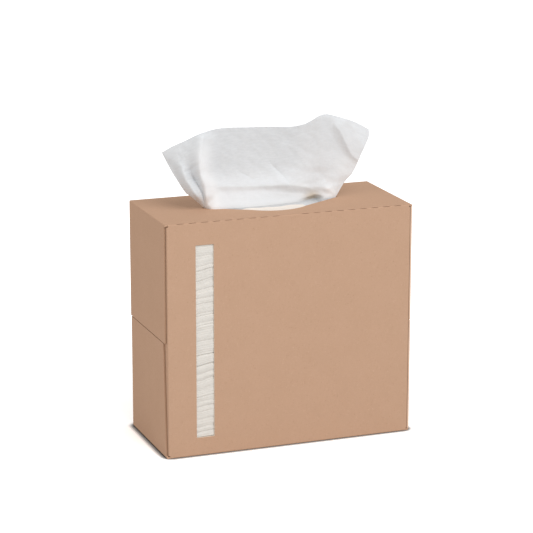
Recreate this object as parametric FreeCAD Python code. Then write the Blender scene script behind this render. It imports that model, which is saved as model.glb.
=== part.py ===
"""A carton of interfolded wipes with one wipe pulled up through the opening in its top.

The frame is the carton's own: +X runs along its width, +Y to the back, +Z up, and the origin is the
middle of its bottom. The end with the smaller X is the left end. All lengths are millimetres.
"""
import FreeCAD, Part
import math
import os
from FreeCAD import Vector

# Carton, outside
WIDTH = 262.0
DEPTH = 116.0
HEIGHT = 239.0
BOARD = 1.6
FOLD_RADIUS = 1.2
GLUE_LINE = 0.3

# End flaps: the outer ones hang from top and bottom, the inner ones turn in from front and back
LOWER_FLAP = 117.6
SEAM_GAP = 0.8
CREASE_INSET = 0.5
LEFT_FLAP_INSET = 3.0
RIGHT_FLAP_INSET = 0.5
OUTER_FLAP_NECK = 3.0
UPPER_FLAP_TAPER = 0.4
LOWER_FLAP_TAPER = 5.5
OUTER_FLAP_CORNER = 0.6
INNER_FLAP_LENGTH = 50.0
INNER_FLAP_INSET = 2.6
INNER_FLAP_TAPER = 4.0
TAB_HEIGHT = 28.0
TAB_END_INSET = 3.0

# Window in the front panel
WINDOW_WIDTH = 18.8
WINDOW_HEIGHT = 197.5
WINDOW_FROM_END = 31.4
WINDOW_FROM_BOTTOM = 18.5

# Pointed opening in the top panel
OPENING_LENGTH = 148.0
OPENING_BREADTH = 74.0
OPENING_NOSE_RADIUS = 44.0

# Row of slits along the fold between top and front
SLIT_LENGTH = 7.2
SLIT_WIDTH = 0.45
SLIT_PITCH = 12.45
SLIT_MIDDLE_LAND = 23.6
SLIT_END_ROOM = 11.0

# Glue beads between the end flaps
BEAD_LENGTH = 70.0
BEAD_WIDTH = 8.0
BEAD_FROM_FOLD = 20.0
BEAD_FROM_SEAM = 18.0
SEAM_GLUE_WIDTH = 14.0

# Stack of folded wipes
END_ROOM = 2.5
FRONT_ROOM = 0.9
BACK_ROOM = 2.6
HEAD_ROOM = 11.4
FOLD_PITCH = 5.4
FOLD_BULGE = 1.3
FOLD_UNEVENNESS = 0.22
FOLD_BEATS = (2.4, 0.9)

# Wipe that stands in the opening
WIPE_THICKNESS = 0.8
WIPE_RISE = 86.0
LAID_LAYERS = 3
FOLD_STEPS = 3
FAN_LEVELS = (0.0, 0.08, 0.22, 0.45, 0.72, 1.08)
FAN_FLARE = 0.7
LAID_FRONT = -13.2

# Next wipe, bowed up below the opening
NEXT_GAP = 0.3
NEXT_CREST_FROM_LEG = 5.2
NEXT_CREST_ROOM = 0.4
NEXT_SLOPE = 45.0

# Places that follow from the sizes above
FACE_HALF = WIDTH / 2 - BOARD - GLUE_LINE
UPPER_FLAP_END = LOWER_FLAP + SEAM_GAP
TAB_FACE = DEPTH / 2 - BOARD - GLUE_LINE
WIPE_HALF = FACE_HALF - BOARD - END_ROOM
STACK_FRONT = -DEPTH / 2 + BOARD + FRONT_ROOM
STACK_BACK = DEPTH / 2 - BOARD - BACK_ROOM
STACK_TOP = HEIGHT - BOARD - HEAD_ROOM
LAID_TOP = STACK_TOP + LAID_LAYERS * WIPE_THICKNESS


def prism(corners, along):
    """Solid that carries a closed outline of corners along a vector."""
    wire = Part.makePolygon(list(corners) + [corners[0]])
    return Part.Face(wire).extrude(along)


def block(low, high):
    """Box between its lowest and its highest corner."""
    size = high - low
    return Part.makeBox(size.x, size.y, size.z, low)


def inner_path(outline, depth):
    """Corners of the inner face of a board whose outer face follows an outline of right angles."""
    moved = []
    for i in range(len(outline) - 1):
        (a0, b0), (a1, b1) = outline[i], outline[i + 1]
        length = math.hypot(a1 - a0, b1 - b0)
        na, nb = -(b1 - b0) / length * depth, (a1 - a0) / length * depth
        moved.append(((a0 + na, b0 + nb), (a1 + na, b1 + nb)))
    corners = [moved[0][0]]
    for before, after in zip(moved, moved[1:]):
        upright = abs(before[0][0] - before[1][0]) < 1e-9
        corners.append((before[1][0], after[0][1]) if upright else (after[0][0], before[1][1]))
    corners.append(moved[-1][1])
    return corners


def folded_board():
    """The four panels and the glue tab, folded from one strip of board, as wide as the front panel."""
    half_depth = DEPTH / 2
    outline = [
        (half_depth, 0),
        (half_depth, HEIGHT),
        (-half_depth, HEIGHT),
        (-half_depth, 0),
        (TAB_FACE, 0),
        (TAB_FACE, TAB_HEIGHT),
    ]
    start = -(FACE_HALF - BOARD)

    def at(point):
        return Vector(start, point[0], point[1])

    edges = []
    last = at(outline[0])
    for before, corner, after in zip(outline, outline[1:], outline[2:]):
        way_in = (at(before) - at(corner)).normalize()
        way_out = (at(after) - at(corner)).normalize()
        begin = at(corner) + way_in * FOLD_RADIUS
        end = at(corner) + way_out * FOLD_RADIUS
        middle = at(corner) + (way_in + way_out) * FOLD_RADIUS * (1 - math.sqrt(0.5))
        edges.append(Part.LineSegment(last, begin).toShape())
        edges.append(Part.Arc(begin, middle, end).toShape())
        last = end
    edges.append(Part.LineSegment(last, at(outline[-1])).toShape())
    inner = [at(p) for p in inner_path(outline, BOARD)]
    inner.reverse()
    path = [at(outline[-1])] + inner + [at(outline[0])]
    edges += [Part.LineSegment(a, b).toShape() for a, b in zip(path, path[1:])]
    section = Part.Face(Part.Wire(Part.__sortEdges__(edges)))
    board = section.extrude(Vector(-2 * start, 0, 0))
    tab_half = FACE_HALF - BOARD - TAB_END_INSET
    for start_x in (-tab_half - TAB_END_INSET, tab_half):
        low = Vector(start_x, TAB_FACE - 2 * BOARD, BOARD)
        high = Vector(start_x + TAB_END_INSET, TAB_FACE + GLUE_LINE / 2, TAB_HEIGHT + BOARD)
        board = board.cut(block(low, high))
    return board


def crossing_panel(z, back):
    """Top or bottom panel between the outer flaps, from the front crease to a back crease."""
    half = WIDTH / 2 - BOARD
    low = Vector(-half, -DEPTH / 2 + CREASE_INSET, z)
    return block(low, Vector(half, back - CREASE_INSET, z + BOARD))


def rounded_fold(solid, near):
    """Rounds the one straight edge whose middle is the nearest to a point."""
    edge = min(solid.Edges, key=lambda e: e.CenterOfMass.distanceToPoint(near))
    return solid.makeFillet(FOLD_RADIUS, [edge])


def outer_flap(side, crease, free, back, taper):
    """Outer end flap, from its crease's height to its free edge's height, up to the back crease.

    The left end's flaps stand back from the front edge and narrow towards their free edge by the taper.
    """
    way = 1 if free > crease else -1
    front = -DEPTH / 2
    neck = crease + way * OUTER_FLAP_NECK
    inset = LEFT_FLAP_INSET if side < 0 else RIGHT_FLAP_INSET
    narrow = inset + taper if side < 0 else inset
    rows = ((crease, CREASE_INSET), (crease + way * BOARD, CREASE_INSET), (neck, inset), (free, narrow))
    x = side * WIDTH / 2 if side < 0 else WIDTH / 2 - BOARD
    corners = [Vector(x, front + room, z) for z, room in rows]
    corners += [Vector(x, back - CREASE_INSET, free), Vector(x, back - CREASE_INSET, crease)]
    flap = prism(corners, Vector(BOARD, 0, 0))
    corner_edges = [
        e
        for e in flap.Edges
        if abs(e.BoundBox.XLength - BOARD) < 1e-6 and abs(e.CenterOfMass.z - free) < 1e-6
    ]
    flap = flap.makeFillet(OUTER_FLAP_CORNER, corner_edges)
    return rounded_fold(flap, Vector(side * WIDTH / 2, (front + back) / 2, crease))


def inner_flap(side, face):
    """Inner end flap that turns in from the front panel (face -1) or the back panel (face 1)."""
    crease = face * DEPTH / 2
    free = crease - face * INNER_FLAP_LENGTH
    x = -FACE_HALF if side < 0 else FACE_HALF - BOARD
    inset = INNER_FLAP_INSET
    shoulder = crease - face * BOARD
    narrow = inset + INNER_FLAP_TAPER
    rows = ((crease, inset), (shoulder, inset), (free, narrow))
    corners = [Vector(x, y, gap) for y, gap in rows]
    corners += [Vector(x, y, HEIGHT - gap) for y, gap in reversed(rows)]
    flap = prism(corners, Vector(BOARD, 0, 0))
    return rounded_fold(flap, Vector(side * FACE_HALF, crease, HEIGHT / 2))


def opening_cutter():
    """Pointed opening: straight flanks that meet at each end and run into a round nose front and back."""
    half_length, half_breadth = OPENING_LENGTH / 2, OPENING_BREADTH / 2
    centre = half_breadth - OPENING_NOSE_RADIUS
    reach = math.hypot(half_length, centre)
    turn = math.acos(OPENING_NOSE_RADIUS / reach) + math.atan2(centre, half_length)
    touch = Vector(
        OPENING_NOSE_RADIUS * math.cos(turn), centre + OPENING_NOSE_RADIUS * math.sin(turn), 0
    )
    edges = []
    for face in (-1, 1):
        left = Vector(-touch.x, face * touch.y, 0)
        right = Vector(touch.x, face * touch.y, 0)
        nose = Vector(0, face * half_breadth, 0)
        edges.append(Part.LineSegment(Vector(-half_length, 0, 0), left).toShape())
        edges.append(Part.Arc(left, nose, right).toShape())
        edges.append(Part.LineSegment(right, Vector(half_length, 0, 0)).toShape())
    outline = Part.Face(Part.Wire(Part.__sortEdges__(edges)))
    cutter = outline.extrude(Vector(0, 0, 3 * BOARD))
    cutter.translate(Vector(0, 0, HEIGHT - 2 * BOARD))
    return cutter


def window_cutter():
    """Upright window that shows how many wipes are left."""
    low = Vector(-WIDTH / 2 + WINDOW_FROM_END, -DEPTH / 2 - BOARD, WINDOW_FROM_BOTTOM)
    return block(low, low + Vector(WINDOW_WIDTH, 3 * BOARD, WINDOW_HEIGHT))


def slit_cutters():
    """Slits through the fold between top and front, in two rows with a wider land between them."""
    reach = WIDTH / 2 - SLIT_END_ROOM - SLIT_MIDDLE_LAND / 2 - SLIT_LENGTH
    count = int(reach / SLIT_PITCH) + 1
    depth = BOARD * math.sqrt(2) + 2 * FOLD_RADIUS
    cutters = []
    for side in (-1, 1):
        for i in range(count):
            near = SLIT_MIDDLE_LAND / 2 + i * SLIT_PITCH
            start = near if side > 0 else -near - SLIT_LENGTH
            low = Vector(0, -SLIT_WIDTH / 2, -depth)
            cutter = block(low, Vector(SLIT_LENGTH, SLIT_WIDTH / 2, FOLD_RADIUS))
            cutter.rotate(Vector(0, 0, 0), Vector(1, 0, 0), 45)
            cutter.translate(Vector(start, -DEPTH / 2, HEIGHT))
            cutters.append(cutter)
    return cutters


def carton():
    """The whole carton, folded and closed from one blank."""
    half_depth = DEPTH / 2
    pieces = [crossing_panel(HEIGHT - BOARD, half_depth), crossing_panel(0, TAB_FACE)]
    for side in (-1, 1):
        pieces.append(outer_flap(side, HEIGHT, UPPER_FLAP_END, half_depth, UPPER_FLAP_TAPER))
        pieces.append(outer_flap(side, 0, LOWER_FLAP, TAB_FACE, LOWER_FLAP_TAPER))
        pieces += [inner_flap(side, face) for face in (-1, 1)]
    body = folded_board().fuse(pieces).removeSplitter()
    body = body.cut([opening_cutter(), window_cutter()] + slit_cutters())
    return body.Solids[0] if len(body.Solids) == 1 else body


def flap_glue():
    """Beads of glue between each outer flap and the inner flaps behind it."""
    beads = []
    for side in (-1, 1):
        x = -WIDTH / 2 + BOARD if side < 0 else WIDTH / 2 - BOARD - GLUE_LINE
        for face in (-1, 1):
            y = face * (DEPTH / 2 - BEAD_FROM_FOLD)
            low_end = LOWER_FLAP - BEAD_FROM_SEAM - BEAD_LENGTH
            high_end = UPPER_FLAP_END + BEAD_FROM_SEAM
            for z in (low_end, high_end):
                low = Vector(x, y - BEAD_WIDTH / 2, z)
                beads.append(block(low, low + Vector(GLUE_LINE, BEAD_WIDTH, BEAD_LENGTH)))
    return Part.makeCompound(beads)


def seam_glue():
    """Strip of glue that holds the tab to the inside of the back panel."""
    half = FACE_HALF - BOARD - 2 * TAB_END_INSET
    low = Vector(-half, TAB_FACE, (TAB_HEIGHT + BOARD - SEAM_GLUE_WIDTH) / 2)
    return block(low, low + Vector(2 * half, GLUE_LINE, SEAM_GLUE_WIDTH))


def stack_levels():
    """Heights at which one folded wipe ends and the next begins, a little uneven as in a soft stack."""
    height = STACK_TOP - BOARD
    count = max(2, round(height / FOLD_PITCH))
    fast, slow = FOLD_BEATS
    weights = [1 + FOLD_UNEVENNESS * math.sin(fast * i) * math.cos(slow * i) for i in range(count)]
    scale = height / sum(weights)
    levels = [BOARD]
    for weight in weights:
        levels.append(levels[-1] + weight * scale)
    levels[-1] = STACK_TOP
    return levels


def wipe_stack():
    """The wipes still in the carton, pressed into one stack whose folds show front and back."""
    levels = stack_levels()
    front = STACK_FRONT + FOLD_BULGE
    back = STACK_BACK - FOLD_BULGE
    edges = []
    for low, high in zip(levels, levels[1:]):
        middle = (low + high) / 2
        for face, nose in ((front, STACK_FRONT), (back, STACK_BACK)):
            arc = Part.Arc(
                Vector(-WIPE_HALF, face, low),
                Vector(-WIPE_HALF, nose, middle),
                Vector(-WIPE_HALF, face, high),
            )
            edges.append(arc.toShape())
    for z in (levels[0], levels[-1]):
        edges.append(Part.LineSegment(Vector(-WIPE_HALF, front, z), Vector(-WIPE_HALF, back, z)).toShape())
    section = Part.Face(Part.Wire(Part.__sortEdges__(edges)))
    return section.extrude(Vector(2 * WIPE_HALF, 0, 0))


def fold_lines():
    """Fold lines of the standing wipe, left to right: each one's foot in the opening and its head.

    The heads are given at the wipe's greatest height; the wipe's outline is cut from the fan later.
    """
    return [
        ((-68.5, 1.2), (-143, 12)),
        ((-64.5, -2.4), (-127, 17)),
        ((-60.0, 2.4), (-112, 8)),
        ((-55.0, -5.2), (-98, 1)),
        ((-47.0, 0.5), (-82, -7)),
        ((-37.0, -9.0), (-64, -4)),
        ((-25.0, -5.0), (-44, 3)),
        ((-12.0, -10.8), (-22, -2)),
        ((3.0, -6.0), (0, 3)),
        ((18.0, -10.4), (21, -5)),
        ((32.0, -5.0), (41, -11)),
        ((44.0, -8.4), (60, -13)),
        ((53.0, 0.8), (78, -5)),
        ((58.5, -4.0), (94, 6)),
        ((63.5, 2.0), (110, 8)),
        ((68.5, -0.8), (126, 0)),
    ]


def wavy_section(points, z):
    """Closed outline of a thin wavy sheet that is cut level at a height."""
    line = Part.BSplineCurve()
    line.interpolate([Vector(x, y, z) for x, y in points])
    count = FOLD_STEPS * (len(points) - 1)
    first, last = line.FirstParameter, line.LastParameter
    near, far = [], []
    for i in range(count + 1):
        at = first + (last - first) * i / count
        way = line.tangent(at)[0]
        across = Vector(-way.y, way.x, 0) * (WIPE_THICKNESS / 2)
        near.append(line.value(at) + across)
        far.append(line.value(at) - across)
    far.reverse()
    return Part.makePolygon(near + far + near[:1])


def wipe_outline():
    """Flat face of the standing wipe's outline as it is seen from the front."""
    half = OPENING_LENGTH / 2
    left = [(-half, 4), (-85, 13), (-96, 26), (-105, 42), (-115, 60)]
    top = [(-115, 60), (-92, 69), (-60, 78), (-24, 79), (34, 77), (59, WIPE_RISE), (79, 81), (107, 68)]
    right = [(107, 68), (105, 55), (95, 34), (81, 15), (half, 4)]
    edges = []
    for row in (left, top, right):
        curve = Part.BSplineCurve()
        curve.interpolate([Vector(x, -DEPTH / 2, HEIGHT + z) for x, z in row])
        edges.append(curve.toShape())
    foot = [right[-1], (half, STACK_TOP - HEIGHT), (-half, STACK_TOP - HEIGHT), left[0]]
    spots = [Vector(x, -DEPTH / 2, HEIGHT + z) for x, z in foot]
    edges += [Part.LineSegment(a, b).toShape() for a, b in zip(spots, spots[1:])]
    return Part.Face(Part.Wire(edges))


def standing_fan():
    """The pleated sheet from the stack up through the opening, spread like a fan above it."""
    lines = fold_lines()
    feet = [foot for foot, head in lines]
    neck = Part.Face(wavy_section(feet, STACK_TOP)).extrude(Vector(0, 0, HEIGHT - STACK_TOP))
    sections = []
    for share in FAN_LEVELS:
        spread = share**FAN_FLARE
        row = []
        for foot, head in lines:
            row.append((foot[0] + (head[0] - foot[0]) * spread, foot[1] + (head[1] - foot[1]) * spread))
        sections.append(wavy_section(row, HEIGHT + WIPE_RISE * share))
    fan = Part.makeLoft(sections, True, True)
    return fan.common(wipe_outline().extrude(Vector(0, DEPTH, 0))).fuse(neck)


def top_wipe():
    """The wipe ready to be pulled: it fans out above the opening, and its other panels lie on the stack."""
    low = Vector(-WIPE_HALF, LAID_FRONT, STACK_TOP)
    laid = block(low, Vector(WIPE_HALF, STACK_BACK - FOLD_BULGE, LAID_TOP))
    return standing_fan().fuse(laid).removeSplitter().Solids[0]


def next_wipe():
    """First panel of the wipe below: it starts flat in front and bows up under the opening."""
    half = WIPE_THICKNESS / 2
    ground = STACK_TOP + half
    crest = HEIGHT - BOARD - NEXT_CREST_ROOM - half
    leg = LAID_FRONT - NEXT_GAP - half
    top = Vector(0, leg - NEXT_CREST_FROM_LEG, crest)
    slope = math.radians(NEXT_SLOPE)
    radius = (crest - ground) / (2 * (1 - math.cos(slope)))
    run = radius * math.sin(slope)

    def on_arc(centre, reach, degrees):
        turn = math.radians(degrees)
        return centre + Vector(0, reach * math.cos(turn), reach * math.sin(turn))

    rising = Vector(0, top.y - 2 * run, ground + radius)
    falling = Vector(0, top.y, crest - radius)
    over = Vector(0, top.y, crest - NEXT_CREST_FROM_LEG)
    edges = []
    for shift in (-half, half):
        inner = radius - shift
        outer = radius + shift
        tight = NEXT_CREST_FROM_LEG + shift
        spots = [
            Vector(0, STACK_FRONT + FOLD_BULGE, ground + shift),
            on_arc(rising, inner, -90),
            on_arc(rising, inner, -90 + NEXT_SLOPE / 2),
            on_arc(rising, inner, -90 + NEXT_SLOPE),
            on_arc(falling, outer, 90 + NEXT_SLOPE / 2),
            on_arc(falling, outer, 90),
            on_arc(over, tight, 45),
            on_arc(over, tight, 0),
            Vector(0, leg + shift, STACK_TOP),
        ]
        edges.append(Part.LineSegment(spots[0], spots[1]).toShape())
        for i in (1, 3, 5):
            edges.append(Part.Arc(spots[i], spots[i + 1], spots[i + 2]).toShape())
        edges.append(Part.LineSegment(spots[7], spots[8]).toShape())
        if shift < 0:
            start, end = spots[0], spots[8]
        else:
            edges.append(Part.LineSegment(start, spots[0]).toShape())
            edges.append(Part.LineSegment(end, spots[8]).toShape())
    section = Part.Face(Part.Wire(Part.__sortEdges__(edges)))
    section.translate(Vector(-WIPE_HALF, 0, 0))
    return section.extrude(Vector(2 * WIPE_HALF, 0, 0))


if __name__ == "__main__":
    os.makedirs("parts", exist_ok=True)
    made = {
        "carton": carton(),
        "flap_glue": flap_glue(),
        "seam_glue": seam_glue(),
        "wipe_stack": wipe_stack(),
        "next_wipe": next_wipe(),
        "top_wipe": top_wipe(),
    }
    for name, shape in made.items():
        print(name, shape.ShapeType, "solids", len(shape.Solids), "valid", shape.isValid())
        shape.exportStep(f"parts/{name}.step")
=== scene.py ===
"""Looks of a carton of interfolded wipes: kraft board, soft folds and one wipe standing in the top."""

import math

import bpy
import numpy as np
from mathutils import Matrix, Vector


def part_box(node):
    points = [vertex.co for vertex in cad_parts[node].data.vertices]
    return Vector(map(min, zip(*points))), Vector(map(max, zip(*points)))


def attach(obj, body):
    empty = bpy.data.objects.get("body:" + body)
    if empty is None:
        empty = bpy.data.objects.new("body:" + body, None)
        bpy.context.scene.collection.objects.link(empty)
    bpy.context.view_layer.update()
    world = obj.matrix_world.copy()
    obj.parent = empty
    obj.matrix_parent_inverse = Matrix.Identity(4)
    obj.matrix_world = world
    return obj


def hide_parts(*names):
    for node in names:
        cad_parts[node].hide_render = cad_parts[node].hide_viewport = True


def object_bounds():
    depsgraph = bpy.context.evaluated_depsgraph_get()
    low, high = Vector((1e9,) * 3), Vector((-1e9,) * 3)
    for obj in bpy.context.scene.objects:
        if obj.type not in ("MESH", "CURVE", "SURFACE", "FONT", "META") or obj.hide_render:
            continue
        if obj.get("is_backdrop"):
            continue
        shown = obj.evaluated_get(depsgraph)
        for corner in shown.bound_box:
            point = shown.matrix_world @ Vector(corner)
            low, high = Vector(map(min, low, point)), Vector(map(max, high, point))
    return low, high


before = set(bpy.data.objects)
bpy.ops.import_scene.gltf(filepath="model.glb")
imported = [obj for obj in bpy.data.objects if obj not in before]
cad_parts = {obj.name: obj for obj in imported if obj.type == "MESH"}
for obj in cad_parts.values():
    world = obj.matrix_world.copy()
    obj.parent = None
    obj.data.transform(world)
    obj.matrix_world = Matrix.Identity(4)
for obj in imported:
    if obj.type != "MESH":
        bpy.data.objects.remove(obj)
cad_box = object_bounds()

MM = 0.001

# Carton and stack, as the solids have them
carton_low, carton_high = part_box("carton")
stack_low, stack_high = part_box("wipe_stack")
WIDTH, DEPTH, HEIGHT = (high - low for low, high in zip(carton_low, carton_high))
BOARD = 1.6 * MM
FLUTE_PITCH = 3.6 * MM
SEAM_LOW, SEAM_HIGH = 117 * MM, 119 * MM
STACK_TOP = stack_high[2]

# Window: its middle across and above the floor
WINDOW_CENTRE = -90.2 * MM
WINDOW_MIDDLE = 117.25 * MM

# Opening: half its length, and the round noses of its front and back
OPENING_HALF = 74 * MM
NOSE_RADIUS = 44 * MM
NOSE_CENTRE = 37 * MM - NOSE_RADIUS

# Camera, at the angle from which the photo was taken
CAMERA_AZIMUTH = -20.483
CAMERA_ELEVATION = 14.596
CAMERA_ROLL = 0.04
CAMERA_DISTANCE = 2.304
CAMERA_LENS = 152.96
CAMERA_SENSOR = 36
CAMERA_AIM = (-0.00381, 0.17186)

# Wipe paper
PAPER = 0.45 * MM
WIPE_WIDTH = 250 * MM
WIPE_LENGTH = 427 * MM
NEXT_LENGTH = 50 * MM


# Small helpers


def camera_axes():
    """Right, up and back directions of the camera before its roll."""
    a, e = math.radians(CAMERA_AZIMUTH), math.radians(CAMERA_ELEVATION)
    back = Vector((math.sin(a) * math.cos(e), -math.cos(a) * math.cos(e), math.sin(e)))
    right = Vector((math.cos(a), math.sin(a), 0))
    return right, back.cross(right), back


def smooth_curve(points, count):
    """Points along a smooth curve through the given ones, evenly spaced by their order."""
    points = np.array(points, dtype=float)
    padded = np.vstack([2 * points[0] - points[1], points, 2 * points[-1] - points[-2]])
    places = np.linspace(0, len(points) - 1, count)
    start = np.minimum(places.astype(int), len(points) - 2)
    t = (places - start)[:, None]
    p0, p1, p2, p3 = (padded[start + k] for k in range(4))
    square = 2 * p0 - 5 * p1 + 4 * p2 - p3
    cube = 3 * p1 - p0 - 3 * p2 + p3
    return 0.5 * (2 * p1 + (p2 - p0) * t + square * t**2 + cube * t**3)


def even_curve(points, count):
    """The same smooth curve with points at even distances along it."""
    dense = smooth_curve(points, 40 * len(points))
    run = np.concatenate([[0], np.cumsum(np.linalg.norm(np.diff(dense, axis=0), axis=1))])
    wanted = np.linspace(0, run[-1], count)
    return np.stack([np.interp(wanted, run, dense[:, k]) for k in range(dense.shape[1])], axis=1)


def soft_noise(x, y, cell, seed):
    """Smooth random field between about -1 and 1, whose bumps are about a cell across."""
    rng = np.random.default_rng(seed)
    size = 64
    grid = rng.uniform(-1, 1, (size, size))
    gx, gy = np.asarray(x) / cell, np.asarray(y) / cell
    ix, iy = np.floor(gx).astype(int), np.floor(gy).astype(int)
    tx, ty = gx - ix, gy - iy
    tx, ty = tx * tx * (3 - 2 * tx), ty * ty * (3 - 2 * ty)
    corner = lambda a, b: grid[(ix + a) % size, (iy + b) % size]
    low = corner(0, 0) * (1 - tx) + corner(1, 0) * tx
    high = corner(0, 1) * (1 - tx) + corner(1, 1) * tx
    return low * (1 - ty) + high * ty


def smooth_step(value, start, end):
    """0 before start, 1 after end and a soft rise between them."""
    t = np.clip((value - start) / (end - start), 0, 1)
    return t * t * (3 - 2 * t)


def grid_faces(rows, columns):
    """Four-sided faces of a grid whose points run row by row."""
    row = np.arange(rows - 1)[:, None] * columns
    first = (row + np.arange(columns - 1)[None, :]).ravel()
    return np.stack([first, first + 1, first + columns + 1, first + columns], axis=1)


def mesh_object(name, points, faces, material, smooth=True):
    """New object from points in metres and faces, with one material."""
    mesh = bpy.data.meshes.new(name)
    mesh.from_pydata([tuple(p) for p in points], [], [tuple(int(i) for i in f) for f in faces])
    mesh.validate()
    mesh.polygons.foreach_set("use_smooth", [smooth] * len(mesh.polygons))
    mesh.materials.append(material)
    piece = bpy.data.objects.new(name, mesh)
    bpy.context.scene.collection.objects.link(piece)
    return piece


def apply_modifiers(piece):
    """Turns the piece's modifiers into plain mesh."""
    graph = bpy.context.evaluated_depsgraph_get()
    made = bpy.data.meshes.new_from_object(piece.evaluated_get(graph), depsgraph=graph)
    piece.modifiers.clear()
    made.name = piece.name
    piece.data = made
    return piece


def outward(piece):
    """Turns a closed piece's faces outwards if they point in."""
    mesh = piece.data
    volume = 0.0
    mesh.calc_loop_triangles()
    for tri in mesh.loop_triangles:
        a, b, c = (mesh.vertices[i].co for i in tri.vertices)
        volume += a.dot(b.cross(c)) / 6
    if volume < 0:
        mesh.flip_normals()
    return piece


def finish_piece(piece, slot, *replaced):
    """Makes a piece ride with the carton and hides the CAD nodes that it stands for; its slot is not used."""
    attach(piece, "root")
    if replaced:
        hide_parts(*replaced)
    return piece


# Shader helpers


def grey(share):
    """Colour with the same share of red, green and blue."""
    return (share, share, share, 1)


class Shader:
    """Places nodes in a tree from left to right and joins them."""

    def __init__(self, tree):
        self.tree = tree
        self.column = 0

    def node(self, kind, values=None, **settings):
        made = self.tree.nodes.new(kind)
        for key, value in settings.items():
            setattr(made, key, value)
        for key, value in (values or {}).items():
            self.feed(made.inputs[key], value)
        made.location = (self.column * 180, 0)
        self.column += 1
        return made

    def feed(self, socket, value):
        if isinstance(value, bpy.types.NodeSocket):
            self.tree.links.new(value, socket)
        else:
            socket.default_value = value

    def math(self, operation, a, b=0.5):
        return self.node("ShaderNodeMath", {0: a, 1: b}, operation=operation).outputs[0]

    def product(self, *factors):
        total = factors[0]
        for factor in factors[1:]:
            total = self.math("MULTIPLY", total, factor)
        return total

    def largest(self, *values):
        most = values[0]
        for value in values[1:]:
            most = self.math("MAXIMUM", most, value)
        return most

    def between(self, value, low, high):
        """0 below low, 1 above high; a falling range works as well."""
        values = {"Value": value, "From Min": low, "From Max": high}
        return self.node("ShaderNodeMapRange", values, interpolation_type="SMOOTHSTEP").outputs["Result"]

    def mix(self, factor, a, b):
        made = self.node("ShaderNodeMix", data_type="RGBA")
        self.feed(made.inputs[0], factor)
        self.feed(made.inputs[6], a)
        self.feed(made.inputs[7], b)
        return made.outputs[2]

    def noise(self, vector, scale, detail=2.0, rough=0.5):
        values = {"Vector": vector, "Scale": scale, "Detail": detail, "Roughness": rough}
        return self.node("ShaderNodeTexNoise", values).outputs["Fac"]

    def stretched(self, vector, scale, turn=(0, 0, 0)):
        """The vector turned, and with each axis scaled on its own."""
        values = {"Vector": vector, "Rotation": turn, "Scale": scale}
        return self.node("ShaderNodeMapping", values).outputs["Vector"]

    def bump(self, height, strength, distance, normal=None):
        values = {"Height": height, "Strength": strength, "Distance": distance}
        if normal is not None:
            values["Normal"] = normal
        return self.node("ShaderNodeBump", values).outputs["Normal"]


def new_group(name, inputs, outputs):
    """Empty shader group with named inputs and outputs; gives the tree, its shader helper and both ends."""
    tree = bpy.data.node_groups.new(name, "ShaderNodeTree")
    for label, kind, value in inputs:
        socket = tree.interface.new_socket(label, in_out="INPUT", socket_type=kind)
        if value is not None:
            socket.default_value = value
    for label, kind in outputs:
        tree.interface.new_socket(label, in_out="OUTPUT", socket_type=kind)
    helper = Shader(tree)
    return tree, helper, helper.node("NodeGroupInput").outputs, helper.node("NodeGroupOutput").inputs


def new_material(name):
    """Empty material with its Principled shader joined to its output."""
    material = bpy.data.materials.new(name)
    material.use_nodes = True
    material.node_tree.nodes.clear()
    helper = Shader(material.node_tree)
    output = helper.node("ShaderNodeOutputMaterial")
    surface = helper.node("ShaderNodeBsdfPrincipled")
    material.node_tree.links.new(surface.outputs["BSDF"], output.inputs["Surface"])
    return material, helper, surface


def use_group(helper, tree, values):
    """The group's node inside another tree."""
    made = helper.node("ShaderNodeGroup", node_tree=tree)
    for key, value in values.items():
        helper.feed(made.inputs[key], value)
    return made.outputs


def fibre_group():
    """Short fibres that lie every way in a sheet of paper or board, with soft clouds below them."""
    tree, at, given, out = new_group(
        "paper_fibres",
        [("Vector", "NodeSocketVector", None), ("Fibre Scale", "NodeSocketFloat", 900.0)],
        [("Fibres", "NodeSocketFloat"), ("Clouds", "NodeSocketFloat")],
    )
    strands = None
    for turn, stretch in ((0.4, (1, 0.12, 0.45)), (1.7, (0.14, 1, 0.4)), (2.6, (0.5, 0.35, 0.1))):
        turned = at.stretched(given["Vector"], stretch, (turn, turn, turn))
        field = at.noise(turned, given["Fibre Scale"], 1.0)
        strands = field if strands is None else at.math("ADD", strands, field)
    at.feed(out["Fibres"], at.product(strands, 1 / 3))
    at.feed(out["Clouds"], at.noise(given["Vector"], 38.0, 3.0, 0.6))
    return tree


def crepe_group():
    """Fine broken ripples of creped paper across the sheet, with a soft mottle."""
    tree, at, given, out = new_group(
        "crepe_ripples",
        [("Vector", "NodeSocketVector", None), ("Ripple Scale", "NodeSocketFloat", 700.0)],
        [("Height", "NodeSocketFloat"), ("Mottle", "NodeSocketFloat")],
    )
    along = at.stretched(given["Vector"], (0.22, 1.0, 1.0))
    ripples = at.noise(along, given["Ripple Scale"], 2.0, 0.6)
    grain = at.noise(given["Vector"], 2400.0, 1.0)
    dimples = at.noise(given["Vector"], 430.0, 1.0)
    height = at.math("ADD", at.product(ripples, 0.45), at.product(grain, 0.15))
    height = at.math("ADD", height, at.product(dimples, 0.4))
    at.feed(out["Height"], height)
    at.feed(out["Mottle"], at.noise(given["Vector"], 130.0, 5.0, 0.75))
    return tree


paper_fibres = fibre_group()
crepe_ripples = crepe_group()
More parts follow.
